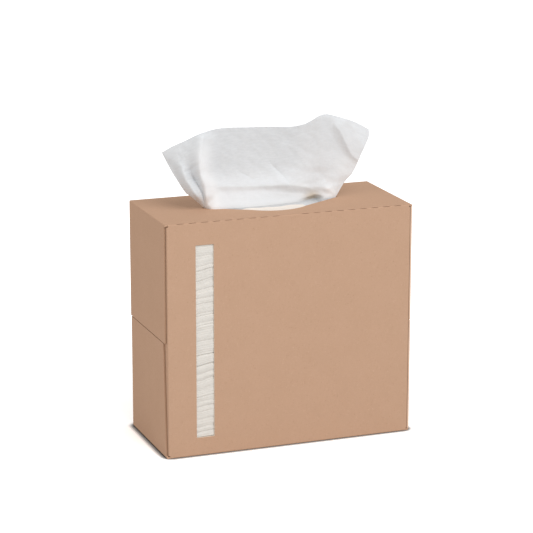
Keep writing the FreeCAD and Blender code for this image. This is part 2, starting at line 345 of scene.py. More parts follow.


# Colours of the board: its faces, its fibres, the raw edges where it is cut, painted light on some cut faces
# and painted shade in one recess
BOARD_CLOUDS = ((0.553, 0.353, 0.240, 1), (0.564, 0.361, 0.247, 1))
PALE_FIBRES = (0.600, 0.395, 0.275, 1)
DARK_FIBRES = (0.500, 0.310, 0.205, 1)
CUT_FLUTES = ((0.470, 0.292, 0.195, 1), (0.540, 0.342, 0.232, 1))
LEFT_END_CUT = (0.470, 0.295, 0.195, 1)
# Right end's cut colour, made pale: painted light that lifts the shade in its slits
RIGHT_END_CUT_PAINTED_LIGHT = (0.780, 0.560, 0.420, 1)
# Window walls' cut colour, made pale cream: painted light that lifts the shade in the walls
WINDOW_CUT_PAINTED_LIGHT = (0.900, 0.810, 0.710, 1)
# Painted shade for the recess beside the upper left flap, and how much of it is mixed in
PAINTED_RECESS_SHADE = (0.270, 0.150, 0.085, 1)
PAINTED_RECESS_SHARE = 0.12
# From where to where across each end's cut colour takes over, pale painted light at the right end, and how
# far from the folds cuts begin
END_CUT_FROM, END_CUT_FULL = 100 * MM, 120 * MM
FOLD_MARGIN_ACROSS = 4.0 * MM
FOLD_MARGIN = 2.2 * MM

# Colours of the wipes: the two ends of each mottle (the waiting wipe's warmed by painted light from the
# board), painted highlight where the paper also lies double, and the board's light painted on it
CREPED_WIPE = ((0.726, 0.746, 0.767, 1), (0.671, 0.691, 0.711, 1))
# The waiting wipe is warmed cream: painted light that the brown board throws on it inside the carton
WAITING_WIPE_WARM_LIGHT = ((0.90, 0.83, 0.755, 1), (0.86, 0.79, 0.715, 1))
STACKED_WIPE = ((0.768, 0.735, 0.686, 1), (0.718, 0.688, 0.640, 1))
DOUBLED_PAPER_AND_HIGHLIGHT = (0.905, 0.920, 0.938, 1)
BROWN_LIGHT = (0.60, 0.49, 0.36, 1)
# Colours of the glue
GLUE_CLOUDS = ((0.62, 0.50, 0.30, 1), (0.74, 0.64, 0.44, 1))


def kraft_material():
    """Brown kraft board: fibres, clouds and a faint washboard of flutes, with fluted raw edges, painted shade
    in one recess and painted light on some cut faces.
    """
    material, at, surface = new_material("kraft_board")
    place = at.node("ShaderNodeTexCoord").outputs["Object"]
    fibres = use_group(at, paper_fibres, {"Vector": place, "Fibre Scale": 2600.0})
    spot = at.node("ShaderNodeSeparateXYZ", {"Vector": place}).outputs
    normal = at.node("ShaderNodeNewGeometry").outputs["Normal"]
    facing = at.node("ShaderNodeSeparateXYZ", {"Vector": normal}).outputs

    def skin(axis, half, centre=0.0):
        """1 inside the thickness of the panels that lie across an axis, where the surface is cut edge-on."""
        off = at.math("ABSOLUTE", at.math("SUBTRACT", spot[axis], centre))
        inside = at.between(off, half - BOARD + 0.05 * MM, half - BOARD + 0.15 * MM)
        outside = at.between(off, half - 0.08 * MM, half - 0.16 * MM)
        edge_on = at.between(at.math("ABSOLUTE", facing[axis]), 0.5, 0.3)
        return at.product(inside, outside, edge_on)

    def inland(axis, half, margin, centre=0.0):
        """1 away from the folds at both ends of an axis, where the board turns and isn't cut."""
        off = at.math("ABSOLUTE", at.math("SUBTRACT", spot[axis], centre))
        return at.between(off, half - margin, half - margin - 0.3 * MM)

    inland_x = inland("X", WIDTH / 2, FOLD_MARGIN_ACROSS)
    inland_y = inland("Y", DEPTH / 2, FOLD_MARGIN)
    inland_z = inland("Z", HEIGHT / 2, FOLD_MARGIN, HEIGHT / 2)
    flap_edges = at.product(skin("X", WIDTH / 2), inland_z)
    window_walls = at.product(skin("Y", DEPTH / 2), inland_z, inland_x)
    opening_walls = at.product(skin("Z", HEIGHT / 2, HEIGHT / 2), inland_y, inland_x)
    raw = at.largest(flap_edges, window_walls, opening_walls)
    base = at.mix(at.between(fibres["Clouds"], 0.3, 0.7), *BOARD_CLOUDS)
    base = at.mix(at.between(fibres["Fibres"], 0.56, 0.66), base, PALE_FIBRES)
    base = at.mix(at.between(fibres["Fibres"], 0.43, 0.34), base, DARK_FIBRES)
    waves = 2 * math.pi / FLUTE_PITCH
    flutes = at.math("SINE", at.product(at.math("ADD", spot["X"], spot["Y"]), waves))
    cut = at.mix(at.between(flutes, -0.4, 0.7), *CUT_FLUTES)
    cut = at.mix(at.between(spot["X"], -END_CUT_FROM, -END_CUT_FULL), cut, LEFT_END_CUT)
    # Pale cut faces at the right end: painted light that lifts the shade in the slits there
    cut = at.mix(at.between(spot["X"], END_CUT_FROM, END_CUT_FULL), cut, RIGHT_END_CUT_PAINTED_LIGHT)
    # Round the window the cut walls turn pale cream, painted light over their shade
    cut = at.mix(window_walls, cut, WINDOW_CUT_PAINTED_LIGHT)

    # Painted shade: slightly darker board in the recess beside the upper left flap, above the seam, where
    # shade falls
    painted_recess_shade = at.product(
        at.between(spot["X"], 3.4 * MM - WIDTH / 2, 2.9 * MM - WIDTH / 2),
        at.between(spot["Z"], SEAM_LOW, SEAM_HIGH),
        at.between(spot["Y"], FOLD_MARGIN_ACROSS - DEPTH / 2, FOLD_MARGIN - DEPTH / 2),
        at.between(facing["X"], -0.5, -0.9),
    )
    base = at.mix(at.product(painted_recess_shade, PAINTED_RECESS_SHARE), base, PAINTED_RECESS_SHADE)
    at.feed(surface.inputs["Base Color"], at.mix(raw, base, cut))
    at.feed(surface.inputs["Roughness"], at.math("ADD", at.product(fibres["Clouds"], 0.12), 0.78))
    surface.inputs["Specular IOR Level"].default_value = 0.02

    # The flutes show through the upright faces as a faint washboard
    grain = at.bump(fibres["Fibres"], 0.35, 0.05 * MM)
    upright = at.math("SUBTRACT", 1.0, at.math("ABSOLUTE", facing["Z"]))
    washboard = at.product(at.math("SINE", at.product(spot["X"], waves)), 0.5, upright)
    at.feed(surface.inputs["Normal"], at.bump(washboard, 0.25, 0.03 * MM, grain))
    return material


def wipe_material(name, mottle, follows_sheet):
    """White creped paper, whose ripples follow the sheet's flat map where it has one."""
    material, at, surface = new_material(name)
    place = at.node("ShaderNodeTexCoord").outputs["Object"]
    if follows_sheet:
        place = at.node("ShaderNodeUVMap", uv_map="flat").outputs["UV"]
    crepe = use_group(at, crepe_ripples, {"Vector": place, "Ripple Scale": 760.0})
    base = at.mix(at.between(crepe["Mottle"], 0.35, 0.7), *mottle)
    if follows_sheet:
        # Painted highlight where the paper also lies double, and the board's painted light
        for share, colour in (("doubled_and_highlight", DOUBLED_PAPER_AND_HIGHLIGHT), ("brown_glow", BROWN_LIGHT)):
            painted = at.node("ShaderNodeAttribute", attribute_name=share).outputs["Fac"]
            base = at.mix(painted, base, colour)
    at.feed(surface.inputs["Base Color"], base)
    surface.inputs["Roughness"].default_value = 0.92
    surface.inputs["Specular IOR Level"].default_value = 0.2
    surface.inputs["Subsurface Weight"].default_value = 0.15
    surface.inputs["Subsurface Radius"].default_value = (1.0, 0.95, 0.9)
    surface.inputs["Subsurface Scale"].default_value = 0.002
    at.feed(surface.inputs["Normal"], at.bump(crepe["Height"], 0.5, 0.25 * MM))
    return material


def glue_material():
    """Dried hot-melt glue: amber, slightly cloudy and glossy."""
    material, at, surface = new_material("hot_melt_glue")
    place = at.node("ShaderNodeTexCoord").outputs["Object"]
    clouds = at.noise(place, 220.0, 2.0)
    at.feed(surface.inputs["Base Color"], at.mix(clouds, *GLUE_CLOUDS))
    surface.inputs["Roughness"].default_value = 0.35
    at.feed(surface.inputs["Normal"], at.bump(clouds, 0.3, 0.1 * MM))
    return material


kraft = kraft_material()
white_wipe = wipe_material("creped_wipe", CREPED_WIPE, True)
waiting_wipe = wipe_material("waiting_wipe", WAITING_WIPE_WARM_LIGHT, True)
stacked_wipe = wipe_material("stacked_wipe", STACKED_WIPE, False)
glue = glue_material()


def dress_nodes():
    """Gives the carton and its glue their materials."""
    for name, material in (("carton", kraft), ("flap_glue", glue), ("seam_glue", glue)):
        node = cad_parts[name]
        node.data.materials.clear()
        node.data.materials.append(material)


# Standing wipe: its outline as the camera sees it, and its relief along the line of sight

SIGHT = -camera_axes()[2]
SHIFT_X = SIGHT.x / SIGHT.y
SHIFT_Z = SIGHT.z / SIGHT.y

# Outline in the plane through the opening's middle, in millimetres: across and above the carton's top
TOP_EDGE = [
    (-115, 60), (-104, 65), (-92, 69), (-78, 74), (-60, 79), (-46, 80), (-24, 79), (-2, 78), (19, 76),
    (34, 77), (43, 80), (52, 84.5), (59, 86), (66, 85), (79, 81), (92, 76), (107, 68),
]
LEFT_EDGE = [(-85, 13), (-90, 17), (-96, 26), (-103, 37), (-109, 48), (-115, 60)]
RIGHT_EDGE = [(81, 15), (89, 23), (95, 34), (99, 43), (103, 51), (107, 60), (107, 68)]

# Line on which the wipe comes out of the opening: across and from front to back, at the carton's top
MOUTH_LINE = [
    (-70.5, -1.5), (-69, -5), (-64, -9.5), (-53, -11.6), (-40, -12.2), (-20, -12.3),
    (0, -11), (20, -8.5), (40, -6), (53, -4.5), (62, -3.5), (71, -0.5),
]

# Folds of the standing wipe, in millimetres: places across and above, depth to the back, reach to each
# side, and sharpness
FOLDS = [
    ("left ridge", [(-70, 78), (-73.5, 54), (-74.5, 38), (-70, 20), (-68, 3)], -8.0, (13, 10), 1.35),
    ("pocket", [(-87, 44), (-83, 36)], 6.0, (7, 8), 1.5),
    ("pocket line", [(-84, 37), (-82.5, 32.8), (-73.4, 16.8), (-70, 3)], 8.0, (3.2, 5), 1.0),
    ("left crescent", [(-94, 44), (-89, 30), (-82, 18), (-76, 8)], -4.5, (6, 3.6), 1.5),
    ("left edge", [(-112, 54), (-104, 42), (-96, 29)], 3.5, (7, 6), 1.4),
    ("waist", [(-58, 20.5), (-40, 19.2), (-9, 17.2), (20, 15.6), (37, 13.1), (46, 9)], -1.8, (3.6, 7), 1.4),
    ("first wrinkle", [(-37.1, 42), (-34.5, 35), (-23.1, 28), (-12.6, 20.5)], 0.8, (2.2, 3.6), 1.0),
    ("second wrinkle", [(0.3, 39.8), (14.2, 25.1), (18, 20)], 1.6, (1.5, 4.6), 1.0),
    ("middle swell", [(30, 92), (27, 60), (22, 34), (18, 8)], -6.5, (32, 36), 1.7),
    ("right ridge", [(53, 92), (53.2, 60), (53.5, 26)], -2.4, (12, 8), 1.7),
    ("low dimple", [(53, 27), (57.5, 21)], 1.5, (4, 4.5), 1.6),
    ("right lobe", [(59, 14), (64, 2)], -3.5, (5, 6), 1.8),
]
# Flap of the right corner, which comes forward beyond its fold line
FLAP_LINE = [
    (66, 88), (70, 75), (75.3, 67.2), (79.3, 59.8), (83.1, 51.7), (86.8, 44.6), (91.2, 39.6), (97.5, 34.8),
]
FLAP_DEPTH = -4.2
# Width of its slope, the share that it loses further down, and the slope's sharpness
FLAP_SLOPE = 9.5
FLAP_STEEPENING = 0.35
FLAP_SHARPNESS = 1.6
# How far from its line the flap is at its full depth, and over what distance it fades from there
FLAP_FULL_WIDTH = 14
FLAP_FADE = 30
# Painted highlight along the right of the left ridge, and its reach to the right
RIDGE_BAND = [(-67, 78), (-71.5, 54), (-72.5, 38), (-67, 20), (-64, 3)]
RIDGE_REACH = 9.0
# Share of painted highlight in each part of the sheet, partly where the paper lies double
RIDGE_WHITE = 0.98
WAIST_WHITE = 0.5
MIDDLE_WHITE = 0.3
LOBE_WHITE = 0.8
RIGHT_WHITE = 0.26
FLAP_WHITE = 0.15
CORNER_WHITE = 0.3
# Middle and reach of the lobe and of the board's light beside it, across and above, and the light's share
LOBE = ((63, 4), (8, 9))
BROWN_SPOT = ((45, 2), (8, 6))
BROWN_SHARE = 0.8
# Depth of the middle of the sheet by height above its foot, the scale of that height, and the share of
# the depth that the right corner loses
MIDDLE_DEPTH = [
    (0, 0), (3, 1.0), (9, 4.6), (15, 7.8), (20, 9.0), (28, 10.7),
    (37, 11.8), (47, 12.0), (58, 10.7), (72, 7.9), (92, 3.2),
]
MIDDLE_STRETCH = 0.96
CORNER_LOSS = 0.8
# Depth of the sheet's top edge at places across
TOP_DEPTH = [
    (-116, 9), (-100, 5), (-88, 2), (-72, -1), (-45, -1), (-10, -1.5),
    (25, -4), (54, -8.5), (68, -5), (84, -0.5), (108, 1.5),
]
# How far the foot of the sheet goes back at places across, beside its right lobe
FOOT_NOTCH = [(27, 0), (35, 1.8), (41, 4.6), (47, 7.6), (51, 6.4), (54, 2.0), (57, 0)]
# How much of the relief is left at the mouth, where the board holds the sheet, and the height at which
# all of it is there
HELD_RELIEF = 0.12
FREE_HEIGHT = 13
# Pleats that run together at the mouth's corners: place across and above, count in a turn, and phase
CORNER_PLEATS = ((-70, 0, 7.0, 2.2), (72, 1, 7.0, 0.0))
PLEAT_REACH = 17
# Unevenness of the sheet: depth, lean across with height, size of the bumps, and seed
SHEET_BUMPS = ((0.35, 0, 17, 3), (0.24, 0.5, 7, 4), (0.08, 0, 3.2, 6))
# Columns of the sheet, and its rows above the mouth
SHEET_COLUMNS = 220
FAN_ROWS = 140


# Points of a fold's line
LINE_STEPS = 24


def distance_to_line(x, z, line):
    """Distance of points to a line of places, signed by side, and how far along it they are, 0 to 1."""
    line = even_curve(line, LINE_STEPS)
    best = np.full(x.shape, np.inf)
    side = np.zeros(x.shape)
    along = np.zeros(x.shape)
    for i, (a, b) in enumerate(zip(line, line[1:])):
        d = b - a
        t = np.clip(((x - a[0]) * d[0] + (z - a[1]) * d[1]) / (d @ d), 0, 1)
        off_x, off_z = x - a[0] - t * d[0], z - a[1] - t * d[1]
        away = np.hypot(off_x, off_z)
        nearer = away < best
        best = np.where(nearer, away, best)
        side = np.where(nearer, np.sign(d[0] * off_z - d[1] * off_x), side)
        along = np.where(nearer, (i + t) / (len(line) - 1), along)
    return best, side, along


def fold_relief(x, z):
    """Depth that the folds add, in millimetres to the back."""
    total = np.zeros(x.shape)
    for _, line, depth, (left_reach, right_reach), sharpness in FOLDS:
        away, side, along = distance_to_line(x, z, line)
        reach = np.where(side < 0, left_reach, right_reach)
        body = np.exp(-np.power(away / reach, sharpness))
        length = np.hypot(*np.diff(even_curve(line, LINE_STEPS), axis=0).T).sum()
        from_end = np.minimum(along, 1 - along) * length
        total += depth * body * (0.5 + 0.5 * smooth_step(from_end, -1, 9))
    away, side, along = distance_to_line(x, z, FLAP_LINE)
    run = FLAP_SLOPE * (1 - FLAP_STEEPENING * smooth_step(along, 0.45, 0.8))
    forward = np.power(np.clip(1 + side * away / run, 0, 1), FLAP_SHARPNESS)
    strength = smooth_step(along, 0.0, 0.35) * smooth_step(z, 4, 66)
    total += FLAP_DEPTH * forward * strength * np.exp(-np.maximum(away - FLAP_FULL_WIDTH, 0) / FLAP_FADE)
    return total


def top_depth(x):
    """Depth of the wipe's top edge, in millimetres to the back."""
    curve = smooth_curve(TOP_DEPTH, 200)
    return np.interp(x, curve[:, 0], curve[:, 1])


def standing_part(rows, columns):
    """Points of the wipe above the opening, row by row from its mouth to its top edge, in metres."""
    mouth = even_curve(MOUTH_LINE, columns)
    places, backs = np.array(smooth_curve(FOOT_NOTCH, 100)).T
    notch = np.interp(mouth[:, 0], places, backs, 0, 0)
    mouth[:, 1] += notch
    base = np.stack([mouth[:, 0] - SHIFT_X * mouth[:, 1], -SHIFT_Z * mouth[:, 1]], axis=1)
    top = even_curve(TOP_EDGE, columns)
    left = even_curve([tuple(base[0])] + LEFT_EDGE, rows)
    right = even_curve([tuple(base[-1])] + RIGHT_EDGE, rows)
    u = np.linspace(0, 1, columns)[None, :, None]
    s = np.linspace(0, 1, rows)[:, None, None]
    corners = (1 - u) * (1 - s) * base[0] + u * (1 - s) * base[-1] + (1 - u) * s * top[0] + u * s * top[-1]
    sides = (1 - u) * left[:, None] + u * right[:, None]
    place = sides + (1 - s) * base[None] + s * top[None] - corners
    x, z = place[..., 0], place[..., 1]
    s = s[..., 0]

    above = z - base[None, :, 1]
    foot = mouth[None, :, 1] - notch[None, :] * smooth_step(above, -0.5, 3.6)
    depth = foot * (1 - s) + top_depth(x) * s
    main = smooth_step(x, -76, -52) * (1 - CORNER_LOSS * smooth_step(x, 58, 100))
    heights, depths = np.array(smooth_curve(MIDDLE_DEPTH, 200)).T
    depth = depth + main * np.interp(above * MIDDLE_STRETCH, heights, depths)
    settled = HELD_RELIEF + (1 - HELD_RELIEF) * smooth_step(z, 0, FREE_HEIGHT)
    relief = fold_relief(x, z)
    for pinch_x, pinch_z, pleats, phase in CORNER_PLEATS:
        reach = np.hypot(x - pinch_x, z - pinch_z)
        turn = np.arctan2(z - pinch_z, x - pinch_x)
        relief += np.sin(pleats * turn + phase) * np.exp(-reach / PLEAT_REACH) * smooth_step(reach, 0, 9)
    relief += sum(share * soft_noise(x + lean * z, z, cell, seed) for share, lean, cell, seed in SHEET_BUMPS)
    depth = depth + relief * settled
    seen_x, seen_z = x + SHIFT_X * depth, z + SHIFT_Z * depth
    points = np.stack([seen_x * MM, depth * MM, HEIGHT + seen_z * MM], axis=-1)
    return points, doubled_paper_and_highlight(x, z), brown_glow(x, z)


def round_spot(x, z, middle, reach):
    """1 at the spot's middle, fading to 0 over its reach across and above."""
    return np.exp(-(((x - middle[0]) / reach[0]) ** 2) - ((z - middle[1]) / reach[1]) ** 2)


def doubled_paper_and_highlight(x, z):
    """Share of painted highlight, partly where the sheet lies double: on its left ridge, under the waist, in
    the lobe, on the right, along the flap's fold and in the right corner.
    """
    away, side, _ = distance_to_line(x, z, RIDGE_BAND)
    left_reach = 2.5 + 5 * smooth_step(z, 34, 62)
    ridge = np.exp(-((away / np.where(side < 0, left_reach, RIDGE_REACH)) ** 2)) * smooth_step(z, 85, 45)
    low = smooth_step(z, 20, 13) * smooth_step(x, -72, -64) * (1 - smooth_step(x, 30, 44))
    middle = MIDDLE_WHITE * smooth_step(z, 42, 22) * smooth_step(x, -72, -60) * (1 - smooth_step(x, 20, 50))
    lobe = LOBE_WHITE * round_spot(x, z, *LOBE)
    away, side, along = distance_to_line(x, z, FLAP_LINE)
    right = RIGHT_WHITE * smooth_step(x, 22, 42)
    flap = FLAP_WHITE * smooth_step(side * away, -1.5, 1.5) * smooth_step(along, 0.1, 0.4)
    corner = CORNER_WHITE * smooth_step(x, 60, 85) * smooth_step(z, 50, 30)
    left = RIDGE_WHITE * ridge + WAIST_WHITE * low + middle * (1 - low)
    return np.clip(left + lobe + right + flap + corner, 0, 1)


def brown_glow(x, z):
    """Share of the brown light that the board throws on the sheet's foot, beside its right lobe."""
    return BROWN_SHARE * round_spot(x, z, *BROWN_SPOT)


# Panels of the top wipe on the stack, the rows of each, and the rows of the neck that leads to them
LAID_FRONT = -12.4 * MM
LAID_BACK = 50.5 * MM
LAYER_RISE = 0.55 * MM
LAYERS = 4
LAYER_ROWS = 9
LAYER_WAVE = 0.07 * MM
NECK_ROWS = 12


def hidden_part(mouth, columns):
    """Rows from below the mouth down to the stack and to and fro over it in layers, in metres."""
    across = np.linspace(-WIPE_WIDTH / 2, WIPE_WIDTH / 2, columns)
    level = STACK_TOP + PAPER + (LAYERS - 1) * LAYER_RISE
    rows = []
    for t in np.linspace(0, 1, NECK_ROWS + 1)[1:]:
        spread, back = smooth_step(t, 0.3, 1.0), smooth_step(t, 0.15, 1.0)
        x = mouth[:, 0] + (across - mouth[:, 0]) * spread
        y = mouth[:, 1] + (LAID_FRONT - mouth[:, 1]) * back
        z = mouth[:, 2] + (level - mouth[:, 2]) * smooth_step(t, 0, 1)
        rows.append(np.stack([x, y, z], axis=1))
    for layer in range(LAYERS):
        ends = (LAID_FRONT, LAID_BACK) if layer % 2 == 0 else (LAID_BACK, LAID_FRONT)
        height = level - layer * LAYER_RISE
        for t in np.linspace(0.02, 0.985, LAYER_ROWS):
            y = ends[0] + (ends[1] - ends[0]) * t + np.zeros(columns)
            wave = LAYER_WAVE * soft_noise(across / MM, y / MM, 30, 7)
            rows.append(np.stack([across, y, height + wave], axis=1))
        if layer < LAYERS - 1:
            turn = math.copysign(LAYER_RISE / 2, ends[1] - ends[0])
            y = np.full(columns, ends[1] + turn)
            rows.append(np.stack([across, y, np.full(columns, height - LAYER_RISE / 2)], axis=1))
    return np.array(rows)


def add_flat_map(piece, rows, columns, width, length):
    """Gives the sheet a map of its flat cut, in metres, for the paper's ripples."""
    mesh = piece.data
    layer = mesh.uv_layers.new(name="flat")
    picks = np.zeros(len(mesh.loops), dtype=np.int64)
    mesh.loops.foreach_get("vertex_index", picks)
    flat = np.stack([picks % columns / (columns - 1) * width, picks // columns / (rows - 1) * length], axis=1)
    layer.data.foreach_set("uv", flat.ravel())


def paper_thickness(piece):
    """Turns an open sheet into a closed one as thick as the paper."""
    solid = piece.modifiers.new("thickness", "SOLIDIFY")
    solid.thickness = PAPER
    solid.offset = 0
    solid.use_rim = True
    return outward(apply_modifiers(piece))


def make_top_wipe():
    """The whole top wipe in one sheet: fan, neck and the panels on the stack."""
    fan, doubled_and_highlight, glow = standing_part(FAN_ROWS, SHEET_COLUMNS)
    hidden = hidden_part(fan[0], SHEET_COLUMNS)
    points = np.concatenate([fan[::-1], hidden])
    rows = len(points)
    faces = grid_faces(rows, SHEET_COLUMNS)
    piece = mesh_object("top_wipe_sheet", points.reshape(-1, 3), faces, white_wipe)
    add_flat_map(piece, rows, SHEET_COLUMNS, WIPE_WIDTH, WIPE_LENGTH)
    for name, share in (("doubled_and_highlight", doubled_and_highlight), ("brown_glow", glow)):
        shares = piece.data.attributes.new(name, "FLOAT", "POINT")
        all_shares = np.concatenate([share[::-1], np.zeros(hidden.shape[:2])])
        shares.data.foreach_set("value", all_shares.ravel())
    paper_thickness(piece)
    finish_piece(piece, "wipe", "top_wipe")
    return piece


# First panel of the next wipe, from its front edge over the crest to its leg: front to back, and share
# of the rise
NEXT_PROFILE = [
    (-53.4, 0.0), (-46, 0.0), (-38, 0.1), (-30, 0.48), (-24, 0.86), (-19.5, 1.0), (-16.2, 0.93), (-14.8, 0.7),
    (-14.4, 0.35), (-14.2, 0.02),
]
# Rise of its crest at the sides, and how much more it rises where its middle shows, in millimetres
NEXT_SIDE_RISE = 2.6
NEXT_MIDDLE_RISE = 9.6
# Height of its flat part over the stack
NEXT_LIFT = 0.35
NEXT_ROWS = 70
NEXT_COLUMNS = 120


def make_next_wipe():
    """The next wipe's first panel, bowed up below the opening and highest where its middle shows."""
    forward, share = even_curve(NEXT_PROFILE, NEXT_ROWS).T[:, :, None]
    across = np.linspace(-WIPE_WIDTH / 2, WIPE_WIDTH / 2, NEXT_COLUMNS) / MM
    shown = smooth_step(across, -62, -30) * (1 - smooth_step(across, 27, 44))
    rise = NEXT_SIDE_RISE + NEXT_MIDDLE_RISE * shown + 0.5 * soft_noise(across, across * 0, 15, 11)
    ground = STACK_TOP / MM + NEXT_LIFT
    y = forward + 0.5 * soft_noise(across, across * 0, 22, 12)[None, :] * share
    z = ground + share * rise[None, :]
    x = np.broadcast_to(across[None, :], z.shape)
    wrinkle = 0.25 * soft_noise(x, y * 1.5, 9, 13) * share
    points = np.stack([x, y, z + wrinkle], axis=-1) * MM
    faces = grid_faces(NEXT_ROWS, NEXT_COLUMNS)
    piece = mesh_object("next_wipe_panel", points.reshape(-1, 3), faces, waiting_wipe)
    add_flat_map(piece, NEXT_ROWS, NEXT_COLUMNS, WIPE_WIDTH, NEXT_LENGTH)
    paper_thickness(piece)
    finish_piece(piece, "wipe", "next_wipe")
    return piece


# Stack of folded wipes, in millimetres: how far round its side the window's middle lies, the slant of the
# folds there, how far they bulge into it, and the room that they have elsewhere
WINDOW_AROUND = 35.0
FOLD_SLANT = 0.17
WINDOW_BULGE = 1.25
STACK_ROOM = 0.8
# Half the width and height of the bulge, where it starts and where it is full
BULGE_ACROSS = (9.37, 9.17)
BULGE_ABOVE = (98.8, 98.3)
# Ring of points round the stack, as distances from the window's middle: its edge, where the wide spacing
# beside it begins, and where the even spacing inside it ends; and the close points, from its edge inwards
WINDOW_HALF = 9.35
WINDOW_CLEAR_HALF = 9.7
WINDOW_INNER_HALF = 8.2
WINDOW_EDGE = np.array([-0.9, -0.5, -0.2, 0.0])
# Points of the ring left of the window, in it, right of it, on each end between the corners, and at the back
RING_LEFT, RING_WINDOW, RING_RIGHT, RING_END, RING_BACK = 14, 33, 40, 14, 36
STACK_ROWS = 560
# Drift of the folds' heights round the stack: height, change with level, size of the waves, and seed
FOLD_DRIFTS = ((1.1, 0.3, 26, 22), (0.35, 0.6, 8, 23))
# Unevenness of the stack's sides: depth, size of the bumps, and seed
SIDE_BUMPS = ((0.16, 9, 24), (0.25, 26, 25))
# Heights between which folds are laid out, for bundles of wipes and for fine creases
FOLDS_FROM, FOLDS_TO = -14, 250
# Bundles: least and most step, depth of the grooves between them, and how proud their noses stand
BUNDLE_STEPS = (5.0, 12.5)
GROOVE_DEPTHS = (0.05, 0.5)
NOSE_DEPTHS = (0.30, 0.55)
# Fine creases: seed, least and most step, depth, and reach
CREASES = ((8, 1.2, 4.2, 0.36, 0.42), (9, 0.8, 1.6, 0.12, 0.25))
# Deeper gaps between folds that show in the window: height and depth
WINDOW_GAPS = [
    (190.0, 0.65), (179.5, 0.5), (143.5, 0.75), (134.0, 0.5), (103.9, 1.4),
    (93.6, 1.4), (78.0, 0.55), (61.0, 0.65), (25.0, 0.55),
]
GAP_REACH = 0.5


def fold_levels(seed, low, high, least, most):
    """Heights of the folds from below the stack to above it, with uneven steps between."""
    rng = np.random.default_rng(seed)
    levels = [low]
    while levels[-1] < high:
        levels.append(levels[-1] + rng.uniform(least, most))
    return np.array(levels)


def stack_relief(level):
    """How far the stack's side stands out at each fold level, in millimetres."""
    rng = np.random.default_rng(21)
    bundles = fold_levels(5, FOLDS_FROM, FOLDS_TO, *BUNDLE_STEPS)
    index = np.clip(np.searchsorted(bundles, level) - 1, 0, len(bundles) - 2)
    share = (level - bundles[index]) / (bundles[index + 1] - bundles[index])
    deep = rng.uniform(*GROOVE_DEPTHS, len(bundles))
    proud = rng.uniform(*NOSE_DEPTHS, len(bundles))
    body = np.power(np.clip(1 - np.abs(2 * share - 1) ** 2.0, 0, 1), 0.9)
    groove = np.where(share < 0.5, deep[index], deep[index + 1])
    total = proud[index] * body - groove * (1 - body)
    for seed, least, most, depth, reach in CREASES:
        fine = fold_levels(seed, FOLDS_FROM, FOLDS_TO, least, most)
        near = np.abs(level[:, None] - fine[None, :])
        depths = depth * rng.uniform(0.3, 1.0, len(fine))[near.argmin(axis=1)]
        total -= depths * np.exp(-((near.min(axis=1) / reach) ** 2))
    for height, depth in WINDOW_GAPS:
        total -= depth * np.exp(-(((level - height) / GAP_REACH) ** 2))
    return total


def stack_ring(low, high):
    """Points round the stack from its left front edge, and the way out at each, across and to the back."""
    half = high[0]
    middle = WINDOW_CENTRE / MM
    window = np.concatenate([
        middle - WINDOW_HALF - WINDOW_EDGE[::-1],
        middle + np.linspace(-WINDOW_INNER_HALF, WINDOW_INNER_HALF, RING_WINDOW),
        middle + WINDOW_HALF + WINDOW_EDGE,
    ])
    left = np.linspace(-half, middle - WINDOW_CLEAR_HALF, RING_LEFT)
    right = np.linspace(middle + WINDOW_CLEAR_HALF, half, RING_RIGHT)
    front = np.concatenate([left, window, right])
    side = np.linspace(low[1], high[1], RING_END + 2)[1:-1]
    back = np.linspace(half, -half, RING_BACK)
    on_front, on_side, on_back = np.ones(len(front)), np.ones(len(side)), np.ones(len(back))
    ring_x = np.concatenate([front, half * on_side, back, -half * on_side])
    ring_y = np.concatenate([low[1] * on_front, side, high[1] * on_back, side[::-1]])
    out_x = np.concatenate([0 * on_front, on_side, 0 * on_back, -on_side])
    out_y = np.concatenate([-on_front, 0 * on_side, on_back, 0 * on_side])
    return ring_x, ring_y, out_x, out_y


def make_wipe_stack():
    """The pressed stack: every fold shows round its sides, most of all in the window."""
    low, high = np.array(stack_low) / MM, np.array(stack_high) / MM
    ring_x, ring_y, out_x, out_y = stack_ring(low, high)
    around = np.concatenate([[0], np.cumsum(np.hypot(np.diff(ring_x), np.diff(ring_y)))])
    levels = np.linspace(low[2], high[2], STACK_ROWS)
    ring, level = np.meshgrid(around, levels)

    # The folds' heights drift round the stack, and slant at the window
    off = ring - WINDOW_AROUND
    slant = FOLD_SLANT * (1.1 + 0.8 * soft_noise(level, level * 0, 26, 26))
    drift = slant * off * np.exp(-((off / 24) ** 2))
    for rise, change, cell, seed in FOLD_DRIFTS:
        drift += rise * soft_noise(ring, level * change, cell, seed)
    z = level + drift * smooth_step(level - low[2], 0, 9) * smooth_step(high[2] - level, 0, 9)

    relief = stack_relief(levels)[:, None]
    for depth, cell, seed in SIDE_BUMPS:
        relief = relief + depth * soft_noise(ring, level, cell, seed)
    relief = np.minimum(relief, STACK_ROOM) * smooth_step(high[2] - level, 0, 1.5)
    not_front = (out_y > -0.5)[None, :]
    beside = np.abs(ring_x - WINDOW_CENTRE / MM)[None, :] + 60 * not_front
    above = np.abs(z - WINDOW_MIDDLE / MM)
    relief += WINDOW_BULGE * smooth_step(beside, *BULGE_ACROSS) * smooth_step(above, *BULGE_ABOVE)
    x = (ring_x[None, :] + out_x[None, :] * relief) * MM
    y = (ring_y[None, :] + out_y[None, :] * relief) * MM
    points = np.stack([x, y, z * MM], axis=-1)

    rows, columns = points.shape[:2]
    faces = grid_faces(rows, columns).tolist()
    for first in range(0, (rows - 1) * columns, columns):
        faces.append([first + columns - 1, first, first + columns, first + 2 * columns - 1])
    faces.append(list(range(columns))[::-1])
    faces.append([(rows - 1) * columns + i for i in range(columns)])
    piece = mesh_object("wipe_stack_folds", points.reshape(-1, 3), faces, stacked_wipe)
    outward(piece)
    return finish_piece(piece, "wipe", "wipe_stack")


